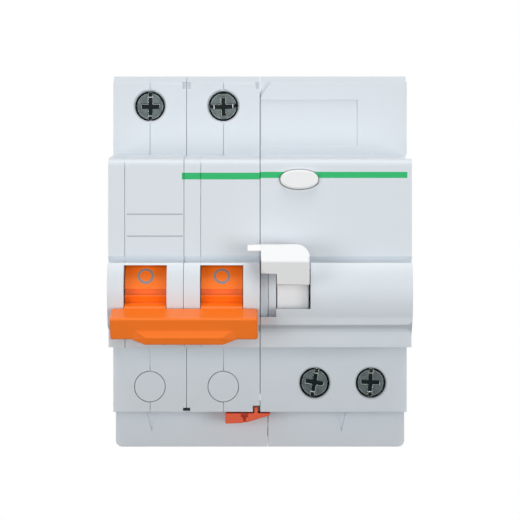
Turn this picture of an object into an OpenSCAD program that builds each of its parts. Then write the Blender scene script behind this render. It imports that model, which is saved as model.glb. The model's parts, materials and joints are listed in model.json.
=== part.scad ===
// Residual current device for a 35 mm rail: a two-pole breaker with a side-mounted earth leakage add-on.
// The front faces -Y, +Z is up, and the origin is on the rail's front plane at the rail's centre,
// where the breaker meets the add-on. Helper shapes take depth d, counted forward from the rail plane.

/* [Overall] */
// Width of one breaker pole
pole_w = 18; // [16:0.5:24]
// Width of the add-on
addon_w = 36; // [32:0.5:46]
// Rail centre to the top end
body_top = 43.5; // [40:0.5:56]
// Rail centre to the bottom edge of the shoulder
body_bottom = 39; // [37:0.5:50]
// Rail plane to the terminal shoulder
shoulder_d = 44; // [40:0.5:52]
// Rail plane to the label face
face_d = 60; // [58:0.5:72]
// Height of the raised nose
nose_h = 45; // [44:0.5:50]
// Height of the wiring cover below the shoulder
cover_drop = 9.3; // [8.5:0.1:12]
// Rail plane to the front of the wiring cover
cover_d = 36; // [35:0.5:39]

/* [Rail] */
// Height of the rail
rail_h = 35; // [30:0.5:36]
// Depth of the feet behind the rail plane
foot_d = 5.5; // [5:0.1:8]
// Thickness of the rail's flange
rail_t = 1; // [0.8:0.1:1.5]
// Grip of the hooks behind the flange
hook_grip = 1.4; // [1:0.1:2.5]
// Play of the rail in its slot
rail_play = 0.2; // [0.1:0.05:0.5]
// Width of a rail clip
clip_w = 12; // [9:0.5:15]

/* [Shell] */
// Wall of the cases
wall = 1.6; // [1.3:0.1:2]
// Gap between neighbouring cases
case_gap = 0.1; // [0.06:0.02:0.2]
// Width of the groove along a parting line
seam_w = 0.15; // [0.1:0.05:0.3]
// Depth of the groove along a parting line
seam_depth = 0.3; // [0.2:0.05:0.6]
// Width of the narrow case half at the nose
nose_split = 3.9; // [3.2:0.1:4.6]
// Radius along the top edge of the nose
nose_round = 2.2; // [1:0.1:3]
// Height of the sloped strip along the top end
top_slope = 1.9; // [1:0.1:2.5]
// Radius of the rivets through both poles
rivet_r = 1.2; // [0.9:0.05:1.5]

/* [Handle] */
// Pivot's distance behind the label face
pivot_back = 8.8; // [8.5:0.1:10]
// Pivot's height
pivot_z = -9.6; // [-10.2:0.1:-9]
// Radius of the bulge round the pivot
bulge_r = 12.6; // [12.2:0.1:13.5]
// Radius of a toggle's drum
drum_r = 9.8; // [8.5:0.1:10]
// Width of a toggle
toggle_w = 9.85; // [8:0.05:10.5]
// Radius of the pivot pins
pin_r = 1.5; // [1.2:0.05:1.8]
// Radial play of a pin in what turns on it
pin_play = 0.05; // [0.02:0.01:0.08]
// Play beside parts that turn or slide
side_play = 0.15; // [0.1:0.05:0.3]
// Slope of the handle when it is off
handle_angle = -17.5; // [-20:0.5:-15]
// Swing of the handle from off to on
handle_travel = 45; // [30:1:45]
// Length of the tie bar across the bulge
bar_len = 6.7; // [5:0.1:7.5]
// Thickness of the tie bar
bar_t = 5.3; // [4.5:0.1:6]

/* [Contacts] */
// Swing of the contact arms
arm_swing = 15; // [10:1:18]
// Length of a contact arm from its pin to its pad
arm_len = 14.5; // [13:0.5:16]
// Number of plates in an arc chute
plate_count = 9; // [6:1:10]
// Spacing of the arc plates
plate_pitch = 2.4; // [1.8:0.1:2.5]
// Outer radius of a trip coil
coil_r = 4.8; // [4:0.1:5]
// Turns of a trip coil
coil_turns = 9; // [6:1:10]

/* [Terminals] */
// Radius of a terminal screw's head
head_r = 3.5; // [2.8:0.1:3.8]
// Radius of a terminal screw's shank
screw_r = 2.4; // [2:0.1:2.6]
// Play round a screw's head in its hole
head_play = 0.2; // [0.15:0.05:0.4]
// Half width of a clamp cage
cage_half = 4.6; // [4.4:0.1:5]
// Wall of a clamp cage
cage_wall = 1.2; // [0.9:0.1:1.4]
// Height of a clamp cage
cage_h = 8; // [6.5:0.5:9]
// Wire gap of an open cage
wire_gap = 7; // [6:0.1:7.5]
// Travel of a cage
cage_travel = 4; // [3:0.1:4]
// Height of the upper screws
upper_z = 36; // [34:0.5:37]
// Height of the covered lower screws
lower_z = -32.8; // [-33.2:0.1:-31]
// Height of the add-on's screws
addon_z = -31.9; // [-32.5:0.1:-31]
// Add-on's first screw from the breaker
addon_first = 13.4; // [12:0.1:15]
// Spacing of the add-on's screws
addon_step = 13.8; // [12:0.1:15]

/* [Add-on] */
// Swing of the reset lever
lever_travel = 28; // [20:1:29]
// Width of the reset lever's paddle
lever_w = 11.3; // [10:0.1:12]
// Reach of the lever's arm over the breaker
arm_reach = 3.2; // [2:0.1:4]
// Length of the oval test button
button_l = 9.1; // [8:0.1:11]
// Height of the oval test button
button_h = 4.6; // [4:0.1:5.5]
// Test button from the breaker
button_x = 9.3; // [8:0.1:10]
// Height of the test button
button_z = 17.3; // [16.5:0.1:17.5]
// Travel of the test button
button_travel = 1.5; // [1:0.1:1.5]
// Outer radius of the sensing ring
ring_r = 9; // [8:0.1:10]
// Thickness of the circuit board
board_t = 1.6; // [1:0.1:2]
// Travel of the coupling latch
latch_travel = 1.2; // [0.8:0.1:1.2]

/* [Hidden] */
$fn = 64;
POLES = [0, 1];
SIDES = [-1, 1];
over = 1;

function pole_x(i) = (i - 2) * pole_w;
function pole_mid(i) = pole_x(i) + pole_w / 2;
function middle(span) = (span[0] + span[1]) / 2;
function way(angle) = [cos(angle), sin(angle)];
function bent(value, power) = sign(value) * pow(abs(value), power);
breaker_mid = -pole_w;
addon_screws = [addon_first, addon_first + addon_step];

// Room between parts that move past each other and between fixed parts, and the overlap that fuses a rib
free_gap = 0.3;
hair_gap = 0.1;
fuse = 0.2;

// Main levels
pivot_d = face_d - pivot_back;
nose_top = nose_h / 2;
sill_d = face_d - 1.2;
sill_z = -nose_top + 4.2;
groove_z = -0.9;
groove_depth = 1;
bulge_hi = -2.4;
bulge_lo = -15.2;
bulge_end = pivot_d + sqrt(pow(bulge_r, 2) - pow(bulge_lo - pivot_z, 2)) - hair_gap;
brow_d = bulge_end - 0.4;
brow_z = -17.1;
shelf_rise = 1.5;
slope_run = 1.6 * top_slope;
rear_cut = 4;
foot_z = rail_h / 2 + rail_play;
lip_d = -rail_t - rail_play;
clip_back = -foot_d + 0.75;
clip_face = lip_d - 0.05;
clip_tail = [5, 2.2];
cover_bottom = -body_bottom - cover_drop;
inner_front = shoulder_d - wall;
drum_room = drum_r + 0.35;
pin_boss = pin_r + 0.8;
slot_hi = -3;
slot_lo = sill_z - 0.1;
window_d = pivot_d + 3;
front_end = pivot_d + bulge_r + over;

// Stem of a toggle in its socket in the tie bar, counted from the pivot along the handle
stem_half = 3.5;
stem_len = 4.5;
stem_z = [-4.2, -1.4];
bar_in = bulge_r + 0.4;

// Terminal depths, counted back from the shoulder
head_t = 1.8;
head_top = shoulder_d - 1.2;
head_hole = head_r + head_play;
hole_chamfer = 0.4;
upper_turns = [0, 88];
addon_turns = [10, 3];
cap_r = head_r + head_play;
cap_play = 0.15;
cap_ledge = 0.5;
low_head = inner_front - 0.2;
bus_front = shoulder_d - 12.4;
bus_t = 1.5;
bus_back = bus_front - bus_t;
bus_half = 3;
cage_front = bus_front + 1.4;
cage_plate = 2.8;
cage_rear = bus_back - wire_gap;
cage_foot = 2.5;
wire_half = cage_half - cage_wall;
wire_room = 0.5;

// Contact arms, their drive links and the trip parts
arm_d = 19.5;
arm_z = -nose_top + 3;
arm_half = 2.1;
arm_x = 1.2;
hub_half = 2;
hub_wall = 1.4;
drive_r = 12;
link_r = 0.7;
drive_hole = link_r + 0.55;
link_side = 5.6;
link_half = 0.85;
link_t = 1;
arm_off = [arm_d - drive_r * sin(arm_swing), arm_z + drive_r * cos(arm_swing)];
crank_r = drive_r * sin(arm_swing / 2) / sin(handle_travel / 2);
crank_angle = 270 - handle_travel / 2;
crank = [pivot_d + crank_r * cos(crank_angle), pivot_z + crank_r * sin(crank_angle)];
link_run = arm_off - crank;
arm_pin_r = 1.2;
pad_z = arm_z + arm_len;
pad_r = 1.6;
pad_t = 1;
coil_d = 30;
coil_lo = 2.8;
coil_hi = 21;
flange_t = 0.95;
yoke_t = 1.4;
strap_t = 1.4;
ear_h = 2.5;
fixed_front = coil_d - coil_r - hair_gap;
shaft_d = 28.5;
shaft_z = -16;
shaft_r = 1;
plunger_r = 1.9;
plunger_play = 0.1;
plunger_z = [1.2, coil_hi - 4];
sleeve_r = plunger_r + 0.75;
chute_back = 3;
chute_front = 12.5;
chute_half = 5.5;
chute_base = arm_z + drive_r / 2;
plate_t = 1;
rivets = [[12, 26], [12, -30], [53, 17], [39.5, -25.4], [39.5, 26.2]];
column_r = rivet_r + 1.2;
rivet_head_r = rivet_r + 0.8;
rivet_head = 0.5;
inner_half = pole_w / 2 - wall;
skin = 0.6;
arm_boss = [arm_d, arm_z, arm_pin_r + 1.1];
shaft_boss = [shaft_d, shaft_z, shaft_r + 0.9];

// Conductors of the add-on
bar_half = 1;
ring_x = 20.8;
ring_d = 28;
ring_z = [-12, -4];
ring_hole = 5;
lead_x = [ring_x + 2, ring_x - 2];
run_z = [cover_bottom + 3.1, cover_bottom + 6.5];
blade_half = 2.5;
blade_d = bus_back - 1.5;
turn_x = 4;
riser_d = 9;
lead_top = 8;
lead_low = -21;

// Side cover of the add-on, its locating rib and the wiring cover that it runs on as
cover_end = 1.9;
cover_back = 3;
corner_r = 1.6;
plate_x = case_gap + hair_gap / 2;
rib_d = 23;
rib_t = 2;
rib_depth = 0.5;
rib_z = [3 - body_bottom, body_top - 2.5];

// Coupling latch and its tab, which stands in a notch of the breaker
latch_front = shoulder_d - 0.6;
tab_x = [-1.45, -0.5];
tab_t = 2.4;
tab_top = -body_bottom + 1.2;
tongue_x = [-7.8, -5.2];
tongue_z = [-body_bottom - 1.3, -body_bottom - 0.5];

// Reset lever, its window and the rib beside it
lever_x = case_gap + 0.15;
lever_end = lever_x + lever_w;
drum_x = 4;
window_right = lever_end + 0.35;
neck_angles = [14, 32];
recess_r = drum_room - hair_gap / 2;
recess_low = pivot_z + bulge_r * sin(neck_angles[0] - lever_travel - 3);

// Test button, counted back from the label face
stem_r = 1.5;
button_foot = face_d - 4.6;
spring_seat = face_d - 12.2;
button_back = spring_seat - 2.6;
spring_r = 2.3;

// Circuit board on its posts, and the trip relay on its shelf
post_len = 1.9;
board_face = addon_w - wall - post_len - board_t;
relay_x = [17, 29];
relay_d = [face_d - 14.5, face_d - 4.5];
relay_z = [3, 15];
relay_r = 1.25;

// Shared shapes

module span_x(x0, x1) {
    translate([x0, 0, 0])
        rotate([90, 0, 90])
            linear_extrude(x1 - x0)
                mirror([1, 0])
                    children();
}

module block(x0, x1, d0, d1, z0, z1) {
    translate([x0, -d1, z0])
        cube([x1 - x0, d1 - d0, z1 - z0]);
}

module rod_x(x0, x1, d, z, r) {
    translate([x0, -d, z])
        rotate([0, 90, 0])
            cylinder(h = x1 - x0, r = r);
}

module rod_y(x, z, d0, d1, r) {
    translate([x, -d0, z])
        rotate([90, 0, 0])
            cylinder(h = d1 - d0, r = r);
}

module rod_z(x, d, z0, z1, r) {
    translate([x, -d, z0])
        cylinder(h = z1 - z0, r = r);
}

// Turns parts drawn along +d about a pin along X; a positive angle lifts the front
module turned(d, z, angle) {
    translate([0, -d, z])
        rotate([-angle, 0, 0])
            children();
}

// A square bar through points [x, d, z], each leg along one axis, with a full block at each corner
module bar_path(points, half) {
    for (k = [0 : len(points) - 2]) {
        a = points[k];
        b = points[k + 1];
        room = [for (j = [0 : 2]) a[j] == b[j] ? half : 0];
        low = [for (j = [0 : 2]) min(a[j], b[j]) - room[j]];
        high = [for (j = [0 : 2]) max(a[j], b[j]) + room[j]];
        block(low[0], high[0], low[1], high[1], low[2], high[2]);
        if (k > 0)
            block(a[0] - half, a[0] + half, a[1] - half, a[1] + half, a[2] - half, a[2] + half);
    }
}

// Case outlines in depth and height

module nose_bulge() {
    intersection() {
        translate([pivot_d, pivot_z])
            circle(bulge_r);
        translate([pivot_d, bulge_lo])
            square([bulge_r + over, bulge_hi - bulge_lo]);
    }
    polygon([
        [shoulder_d, -nose_top], [sill_d, -nose_top], [sill_d, sill_z], [brow_d, brow_z],
        [bulge_end, bulge_lo], [pivot_d, bulge_lo], [shoulder_d, bulge_lo]
    ]);
}

module case_outline() {
    nose_bulge();
    translate([face_d - nose_round, nose_top - nose_round])
        circle(nose_round);
    polygon([
        [-foot_d, -body_bottom + rear_cut], [rear_cut - foot_d, -body_bottom],
        [shoulder_d, -body_bottom], [shoulder_d, bulge_lo],
        [pivot_d, bulge_lo], [pivot_d, bulge_hi], [face_d - groove_depth, bulge_hi],
        [face_d - groove_depth, groove_z - groove_depth],
        [face_d, groove_z], [face_d, nose_top - nose_round], [face_d - nose_round, nose_top],
        [shoulder_d, nose_top + shelf_rise], [shoulder_d, body_top - top_slope],
        [shoulder_d - slope_run, body_top], [rear_cut - foot_d, body_top],
        [-foot_d, body_top - rear_cut], [-foot_d, foot_z - hook_grip - rail_play],
        [lip_d, foot_z - hook_grip - rail_play], [lip_d, foot_z],
        [0, foot_z], [0, -foot_z], [-foot_d, -foot_z]
    ]);
}

// The hollow inside a case; trim draws it in for a lid that drops into it
module case_hollow(trim = 0) {
    t = wall + trim;
    translate([pivot_d, pivot_z])
        circle(drum_room - trim);
    polygon([
        [t, -body_bottom + t], [shoulder_d - t, -body_bottom + t], [shoulder_d - t, -nose_top + t],
        [sill_d - t, -nose_top + t], [sill_d - t, sill_z - t], [pivot_d, sill_z - t],
        [pivot_d, groove_z], [face_d - groove_depth - t, groove_z + t / 2],
        [face_d - t, groove_z + 2 * t], [face_d - t, nose_top - t],
        [shoulder_d - t, nose_top - t], [shoulder_d - t, body_top - top_slope - t],
        [shoulder_d - slope_run - t, body_top - t], [t, body_top - t]
    ]);
}

// The low base of the add-on, below the shoulder; the hollow inside it starts at the rail plane
module base_outline(trim = 0) {
    back = trim > 0 ? trim : -foot_d;
    top = -body_bottom + wall + over;
    front = cover_d - trim;
    low = cover_bottom + trim;
    polygon([[back, low], [front, low], [front, top], [back, top]]);
}

// Mouth for a wire in a case's end wall
module wire_mouth(x, z) {
    block(x - wire_half - wire_room, x + wire_half + wire_room, cage_rear - wire_room, bus_back + wire_room,
        z - over, z + wall + over);
}

// Breaker cases

module pole_shell(i) {
    x0 = pole_x(i);
    mid = pole_mid(i);
    left = x0 + case_gap / 2;
    right = x0 + pole_w - case_gap / 2;
    toggle_left = x0 + nose_split + side_play;
    tick_half = 0.9;
    tick_depth = 8;
    tick_z = [0.25, 1];
    difference() {
        union() {
            difference() {
                span_x(left, right)
                    case_outline();
                span_x(x0 + wall, x0 + pole_w - wall)
                    case_hollow();
            }
            for (p = rivets)
                rod_x(left, right, p[0], p[1], column_r);
            rod_x(left, x0 + nose_split, pivot_d, pivot_z, pin_boss);
            rod_x(toggle_left + toggle_w + side_play, right, pivot_d, pivot_z, pin_boss);
            for (p = [arm_boss, shaft_boss]) {
                rod_x(left, mid - hub_half - side_play, p[0], p[1], p[2]);
                rod_x(mid + hub_half + side_play, right, p[0], p[1], p[2]);
            }
        }
        for (p = rivets) {
            rod_x(left - over, right + over, p[0], p[1], rivet_r + pin_play);
            rod_x(i == 0 ? left - over : right - rivet_head, i == 0 ? left + rivet_head : right + over,
                p[0], p[1], rivet_head_r + pin_play);
        }
        rod_x(left + skin, right - skin, pivot_d, pivot_z, pin_r + pin_play);
        rod_x(left + skin, right - skin, arm_d, arm_z, arm_pin_r + pin_play);
        rod_x(i == 0 ? left + skin : left - over, i == 0 ? right + over : right - skin,
            shaft_d, shaft_z, shaft_r + pin_play);
        block(x0 + nose_split, toggle_left + toggle_w + side_play, window_d, front_end, slot_lo, slot_hi);
        screw_hole(mid, upper_z);
        rod_y(mid, lower_z, inner_front - over, shoulder_d + over, cap_r - cap_ledge);
        rod_y(mid, lower_z, inner_front + cap_ledge, shoulder_d + over, cap_r + cap_play);
        wire_mouth(mid, body_top - wall);
        wire_mouth(mid, -body_bottom);
        clip_channel(breaker_mid, -body_bottom - over);
        for (x = [-pole_w, 0])
            corner_notch(x);
        block(breaker_mid - tick_half, breaker_mid + tick_half, shoulder_d - tick_depth, shoulder_d + over,
            tick_z[0] - body_bottom, tick_z[1] - body_bottom);
        if (i == 1) {
            block(tab_x[0] - free_gap, over, latch_front - tab_t - free_gap, shoulder_d + over,
                -body_bottom - over, tab_top + free_gap);
            locating_rib(side_play, over);
        }
    }
}

// Notch at a top corner of the shoulder
module corner_notch(x) {
    half = 0.95;
    depth = 1;
    low = body_top - 3.3;
    block(x - half, x + half, shoulder_d - depth, shoulder_d + over, low, body_top - top_slope + free_gap);
}

// Rib on the add-on that keys it to the breaker, or with room the groove for it; end is its right end
module locating_rib(room, end) {
    block(-rib_depth - room, end, rib_d - room, rib_d + rib_t + room, rib_z[0] - room, rib_z[1] + room);
}

// The side of the parting line that the narrow half takes
module narrow_side(i) {
    x0 = pole_x(i);
    reach = 3 * face_d;
    block(x0 - over, x0 + nose_split, -reach, reach, -reach, reach);
    for (z = [nose_top + shelf_rise, -nose_top - reach])
        block(x0, pole_mid(i), -reach, reach, z, z + reach);
    for (p = [arm_boss, shaft_boss])
        rod_x(x0, pole_mid(i), p[0], p[1], p[2]);
}

// The fine groove that shows along the parting line on the front
module seam_groove(i) {
    x = pole_x(i) + nose_split;
    mid = pole_mid(i);
    above_cap = 1.5;
    block(x, x + seam_w, face_d - seam_depth, face_d + over, groove_z, nose_top);
    block(x, x + seam_w, sill_d - seam_depth, sill_d + over, -nose_top - over, sill_z);
    for (span = [[nose_top, body_top], [-body_bottom - over, lower_z + cap_r + above_cap]])
        block(mid, mid + seam_w, shoulder_d - seam_depth, shoulder_d + over, span[0], span[1]);
}

module case_left(i) {
    color([0.83, 0.86, 0.89])
        intersection() {
            pole_shell(i);
            narrow_side(i);
        }
}

module case_right(i) {
    color([0.83, 0.86, 0.89])
        difference() {
            pole_shell(i);
            narrow_side(i);
            seam_groove(i);
        }
}

module pole_rivets() {
    color("silver")
        for (p = rivets) {
            left = pole_x(0) + case_gap / 2;
            rod_x(left, -case_gap / 2, p[0], p[1], rivet_r);
            for (x = [left, -case_gap / 2 - rivet_head])
                rod_x(x, x + rivet_head, p[0], p[1], rivet_head_r);
        }
}

// Handle

module toggle(i) {
    left = pole_x(i) + nose_split + side_play;
    right = left + toggle_w;
    mid = (left + right) / 2;
    groove_in = 1.3;
    groove_top = 0.96;
    groove_low = -0.46;
    ridge = 0.3;
    bevel_in = 0.9;
    bevel_low = -2.3;
    root_in = drum_r - 1.5;
    root_top = 0.6;
    root_low = -5;
    root_end = bulge_r + 0.35;
    root_ease = 0.75;
    color([0.95, 0.45, 0.13])
        difference() {
            union() {
                difference() {
                    rod_x(left, right, pivot_d, pivot_z, drum_r);
                    // A finger groove and a bevel under it, with a narrow ridge between them
                    translate([0, -pivot_d, pivot_z])
                        span_x(left - over, right + over) {
                            translate([drum_r - groove_in, groove_low])
                                square([groove_in + over, groove_top - groove_low]);
                            polygon([
                                [drum_r - hair_gap, groove_low - ridge], [drum_r + over, groove_low - ridge],
                                [drum_r + over, bevel_low], [drum_r - bevel_in, bevel_low]
                            ]);
                        }
                }
                turned(pivot_d, pivot_z, handle_angle) {
                    span_x(left, right)
                        polygon([[root_in, root_low], [root_end, root_low], [root_end, root_top - root_ease],
                            [root_end - root_ease, root_top], [root_in, root_top]]);
                    block(mid - stem_half, mid + stem_half, bulge_r, bulge_r + stem_len,
                        stem_z[0], stem_z[1]);
                }
            }
            rod_x(left - over, right + over, pivot_d, pivot_z, pin_r + pin_play);
            rod_x(left, right + over, crank[0], crank[1], link_r + pin_play);
        }
}

module toggle_pins() {
    color("silver")
        for (i = POLES)
            rod_x(pole_x(i) + case_gap + skin, pole_x(i) + pole_w - case_gap - skin, pivot_d, pivot_z, pin_r);
}

module handle_bar() {
    left = pole_x(0) + 1.1;
    right = -0.5;
    mid = (left + right) / 2;
    outer = bar_in + bar_len;
    back_rise = 0.45;
    front_slope = 0.7;
    back_slope = 0.6;
    face = outer - front_slope;
    // A lip under the middle, whose upper face ramps out of the bar's front
    ramp_top = -2.4;
    ramp_half = 12.15;
    lip_half = 8.9;
    lip_edge = -4.4;
    lip_flare = 0.5;
    lip_low = -bar_t - 1.1;
    thin = 0.1;
    color([0.95, 0.45, 0.13])
        turned(pivot_d, pivot_z, handle_angle)
            difference() {
                union() {
                    span_x(left, right)
                        polygon([
                            [bar_in, back_rise], [outer, hair_gap],
                            [face, -bar_t], [bar_in + back_slope, -bar_t]
                        ]);
                    hull() {
                        block(mid - ramp_half, mid + ramp_half, face - over, face, ramp_top - thin, ramp_top);
                        block(mid - ramp_half, mid + ramp_half, face - over, face, -bar_t, -bar_t + thin);
                        block(mid - lip_half, mid + lip_half, face - over, outer + lip_flare,
                            lip_edge - thin, lip_edge);
                        block(mid - lip_half, mid + lip_half, face - bar_len / 2, outer,
                            lip_low, lip_low + thin);
                    }
                }
                for (i = POLES) {
                    stem = pole_x(i) + nose_split + side_play + toggle_w / 2;
                    block(stem - stem_half - hair_gap, stem + stem_half + hair_gap, bar_in - over,
                        bulge_r + stem_len + hair_gap, stem_z[0] - hair_gap, stem_z[1] + hair_gap);
                }
            }
}

module drive_links() {
    run = norm(link_run);
    slope = atan2(link_run[1], link_run[0]);
    crank_in = 1.9;
    color("silver")
        for (i = POLES) {
            mid = pole_mid(i);
            side = mid + link_side;
            translate([side, -crank[0], crank[1]])
                rotate([90 - slope, 0, 0])
                    translate([-link_t / 2, -link_half, -link_half])
                        cube([link_t, 2 * link_half, run + 2 * link_half]);
            rod_x(mid + crank_in, side, crank[0], crank[1], link_r);
            rod_x(mid - arm_x, side, arm_off[0], arm_off[1], link_r);
        }
}

// Contacts and the quenching chutes

module contact_arms() {
    color("peru")
        for (i = POLES) {
            mid = pole_mid(i);
            turned(arm_d, arm_z, arm_swing)
                difference() {
                    union() {
                        rod_x(mid - hub_half, mid + hub_half, 0, 0, arm_pin_r + hub_wall);
                        block(mid - arm_x, mid + arm_x, -arm_half, arm_half, 0, arm_len + arm_half);
                    }
                    for (hole = [[0, arm_pin_r + pin_play], [drive_r, drive_hole]])
                        rod_x(mid - hub_half - over, mid + hub_half + over, 0, hole[0], hole[1]);
                }
        }
}

module contact_pads() {
    color("silver")
        for (i = POLES)
            turned(arm_d, arm_z, arm_swing)
                rod_y(pole_mid(i), arm_len, arm_half, arm_half + pad_t, pad_r);
}

module arm_pins() {
    color("silver")
        for (i = POLES)
            rod_x(pole_x(i) + case_gap + skin, pole_x(i) + pole_w - case_gap - skin, arm_d, arm_z, arm_pin_r);
}

module fixed_contacts() {
    low = pad_z - pad_r - 0.4;
    color("peru")
        for (i = POLES) {
            block(pole_mid(i) - bus_half, pole_mid(i) + bus_half, fixed_front - strap_t, fixed_front,
                low, coil_lo + ear_h / 2);
            strap_ears(i, fixed_front - strap_t, fixed_front, coil_lo - ear_h / 2);
        }
}

// Ears of a strap that sit against both side walls of a pole
module strap_ears(i, d0, d1, z) {
    block(pole_mid(i) - inner_half, pole_mid(i) + inner_half, d0, d1, z, z + ear_h);
}

module fixed_pads() {
    color("silver")
        for (i = POLES)
            rod_y(pole_mid(i), pad_z, arm_d + arm_half + pad_t + hair_gap, fixed_front - strap_t, pad_r);
}

module arc_plates() {
    throat = 2;
    throat_end = 0.6;
    throat_depth = 5;
    color("dimgray")
        for (i = POLES)
            for (k = [0 : plate_count - 1]) {
                mid = pole_mid(i);
                z = chute_base + k * plate_pitch;
                difference() {
                    block(mid - chute_half, mid + chute_half, chute_back, chute_front, z, z + plate_t);
                    translate([mid, -chute_front, z - over])
                        linear_extrude(plate_t + 2 * over)
                            polygon([[-throat, -over], [throat, -over], [throat_end, throat_depth],
                                [-throat_end, throat_depth]]);
                }
            }
}

module arc_frames() {
    top = chute_base + (plate_count - 1) * plate_pitch + plate_t;
    color("tan")
        for (i = POLES)
            for (s = SIDES) {
                a = pole_mid(i) + s * chute_half;
                b = pole_mid(i) + s * inner_half;
                block(min(a, b), max(a, b), chute_back, chute_front, chute_base - over, top + over);
            }
}

// Trip coils and levers

module trip_coils() {
    low = coil_lo + flange_t + hair_gap / 2;
    high = coil_hi - flange_t - hair_gap / 2;
    pitch = (high - low) / coil_turns;
    color("chocolate")
        for (i = POLES)
            difference() {
                rod_z(pole_mid(i), coil_d, low, high, coil_r);
                rod_z(pole_mid(i), coil_d, coil_lo, coil_hi, sleeve_r + hair_gap / 2);
                for (k = [1 : coil_turns - 1])
                    translate([pole_mid(i), -coil_d, low + k * pitch])
                        rotate_extrude()
                            translate([coil_r, 0])
                                circle(pitch / 6);
            }
}

module coil_bobbins() {
    color("ivory")
        for (i = POLES)
            difference() {
                union() {
                    rod_z(pole_mid(i), coil_d, coil_lo, coil_hi, sleeve_r);
                    for (z = [coil_lo, coil_hi - flange_t])
                        rod_z(pole_mid(i), coil_d, z, z + flange_t, coil_r);
                }
                rod_z(pole_mid(i), coil_d, coil_lo - over, coil_hi + over, plunger_r + plunger_play);
            }
}

module plunger(i) {
    color("gray")
        rod_z(pole_mid(i), coil_d, plunger_z[0], plunger_z[1], plunger_r);
}

module coil_yokes() {
    back = coil_d - coil_r + hair_gap;
    front = coil_d + coil_r + 0.5;
    color("slategray")
        for (i = POLES) {
            mid = pole_mid(i);
            difference() {
                union() {
                    for (z = [coil_lo - yoke_t, coil_hi])
                        block(mid - bus_half, mid + bus_half, back, front + yoke_t, z, z + yoke_t);
                    block(mid - bus_half, mid + bus_half, front, front + yoke_t, coil_lo, coil_hi);
                }
                rod_z(mid, coil_d, coil_lo - yoke_t - over, coil_lo + over, plunger_r + free_gap);
            }
        }
}

module trip_levers() {
    half_t = 1;
    top = -1.4;
    toe_h = 2;
    toe_d = 2.3;
    color("ivory")
        for (i = POLES) {
            mid = pole_mid(i);
            difference() {
                union() {
                    rod_x(mid - hub_half, mid + hub_half, shaft_d, shaft_z, shaft_r + half_t);
                    block(mid - hub_half, mid + hub_half, shaft_d - half_t, shaft_d + half_t, shaft_z, top);
                    block(mid - hub_half, mid + hub_half, shaft_d - half_t, shaft_d + toe_d, top - toe_h, top);
                }
                rod_x(mid - hub_half - over, mid + hub_half + over, shaft_d, shaft_z, shaft_r + pin_play);
            }
        }
}

module trip_shaft() {
    color("silver")
        rod_x(pole_x(0) + case_gap + skin, -case_gap - skin, shaft_d, shaft_z, shaft_r);
}

module bimetal_strips() {
    half = 2.5;
    thick = 1;
    low = -nose_top - 3;
    high = -4;
    color("lightgray")
        for (i = POLES)
            block(pole_mid(i) - half, pole_mid(i) + half, bus_front, bus_front + thick, low, high);
}

// Screw terminals

module clamp_cage(x, z, shift) {
    color("lightsteelblue")
        difference() {
            block(x - cage_half, x + cage_half, cage_rear - cage_foot + shift, cage_front + cage_plate + shift,
                z - cage_h / 2, z + cage_h / 2);
            block(x - wire_half, x + wire_half, cage_rear + shift, cage_front + shift,
                z - cage_h, z + cage_h);
            rod_y(x, z, cage_front, cage_front + cage_plate + shift + over, screw_r + pin_play);
        }
}

// A pan head with a slot and a cross, turned by an angle, on a plain shank
module terminal_screw(x, z, top, turn) {
    rim = 0.35;
    slot_half = 0.55;
    slot_depth = 0.7;
    cross_half = 0.6;
    cross_reach = 2.3;
    cross_depth = 1.4;
    color([0.25, 0.28, 0.3])
        difference() {
            union() {
                rod_y(x, z, bus_front + hair_gap, top - head_t, screw_r);
                rod_y(x, z, top - head_t, top - rim, head_r);
                translate([x, -top + rim, z])
                    rotate([90, 0, 0])
                        cylinder(h = rim, r1 = head_r, r2 = head_r - rim);
            }
            translate([x, 0, z])
                rotate([0, turn, 0]) {
                    block(-slot_half, slot_half, top - slot_depth, top + over, -head_r - over, head_r + over);
                    block(-cross_half, cross_half, top - cross_depth, top + over, -cross_reach, cross_reach);
                    block(-cross_reach, cross_reach, top - cross_depth, top + over, -cross_half, cross_half);
                }
        }
}

module upper_screw(i) {
    terminal_screw(pole_mid(i), upper_z, head_top, upper_turns[i]);
}

module addon_screw(i) {
    terminal_screw(addon_screws[i], addon_z, head_top, addon_turns[i]);
}

// Hole in a shoulder over a screw's head, eased at its mouth
module screw_hole(x, z) {
    rod_y(x, z, inner_front - over, shoulder_d + over, head_hole);
    translate([x, -shoulder_d + hole_chamfer, z])
        rotate([90, 0, 0])
            cylinder(h = 2 * hole_chamfer, r1 = head_hole, r2 = head_hole + 2 * hole_chamfer);
}

// Flat strap from inside a cage to a second height
module bus_strap(x, z0, z1) {
    block(x - bus_half, x + bus_half, bus_back, bus_front, min(z0, z1), max(z0, z1));
}

module line_straps() {
    foot = coil_hi + yoke_t;
    foot_reach = 4;
    color("peru")
        for (i = POLES) {
            mid = pole_mid(i);
            bus_strap(mid, foot, upper_z + cage_h / 2);
            strap_ears(i, bus_back, bus_front, foot + 2 * strap_t);
            block(mid - bus_half, mid + bus_half, coil_d - foot_reach, bus_front, foot, foot + strap_t);
        }
}

module load_straps() {
    color("peru")
        for (i = POLES) {
            bus_strap(pole_mid(i), lower_z - cage_h / 2, -nose_top);
            strap_ears(i, bus_back, bus_front, -nose_top - ear_h);
        }
}

module lower_cages() {
    for (i = POLES)
        clamp_cage(pole_mid(i), lower_z, cage_travel);
}

module lower_screws() {
    for (i = POLES)
        terminal_screw(pole_mid(i), lower_z, low_head, 0);
}

module terminal_caps() {
    color([0.83, 0.86, 0.89])
        for (i = POLES)
            rod_y(pole_mid(i), lower_z, inner_front + cap_ledge, shoulder_d, cap_r);
}

// Rail clips

module clip_channel(mid, low) {
    half = clip_w / 2 + side_play;
    block(mid - half, mid + half, clip_back - side_play, clip_face + side_play, low, -foot_z + over);
}

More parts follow.
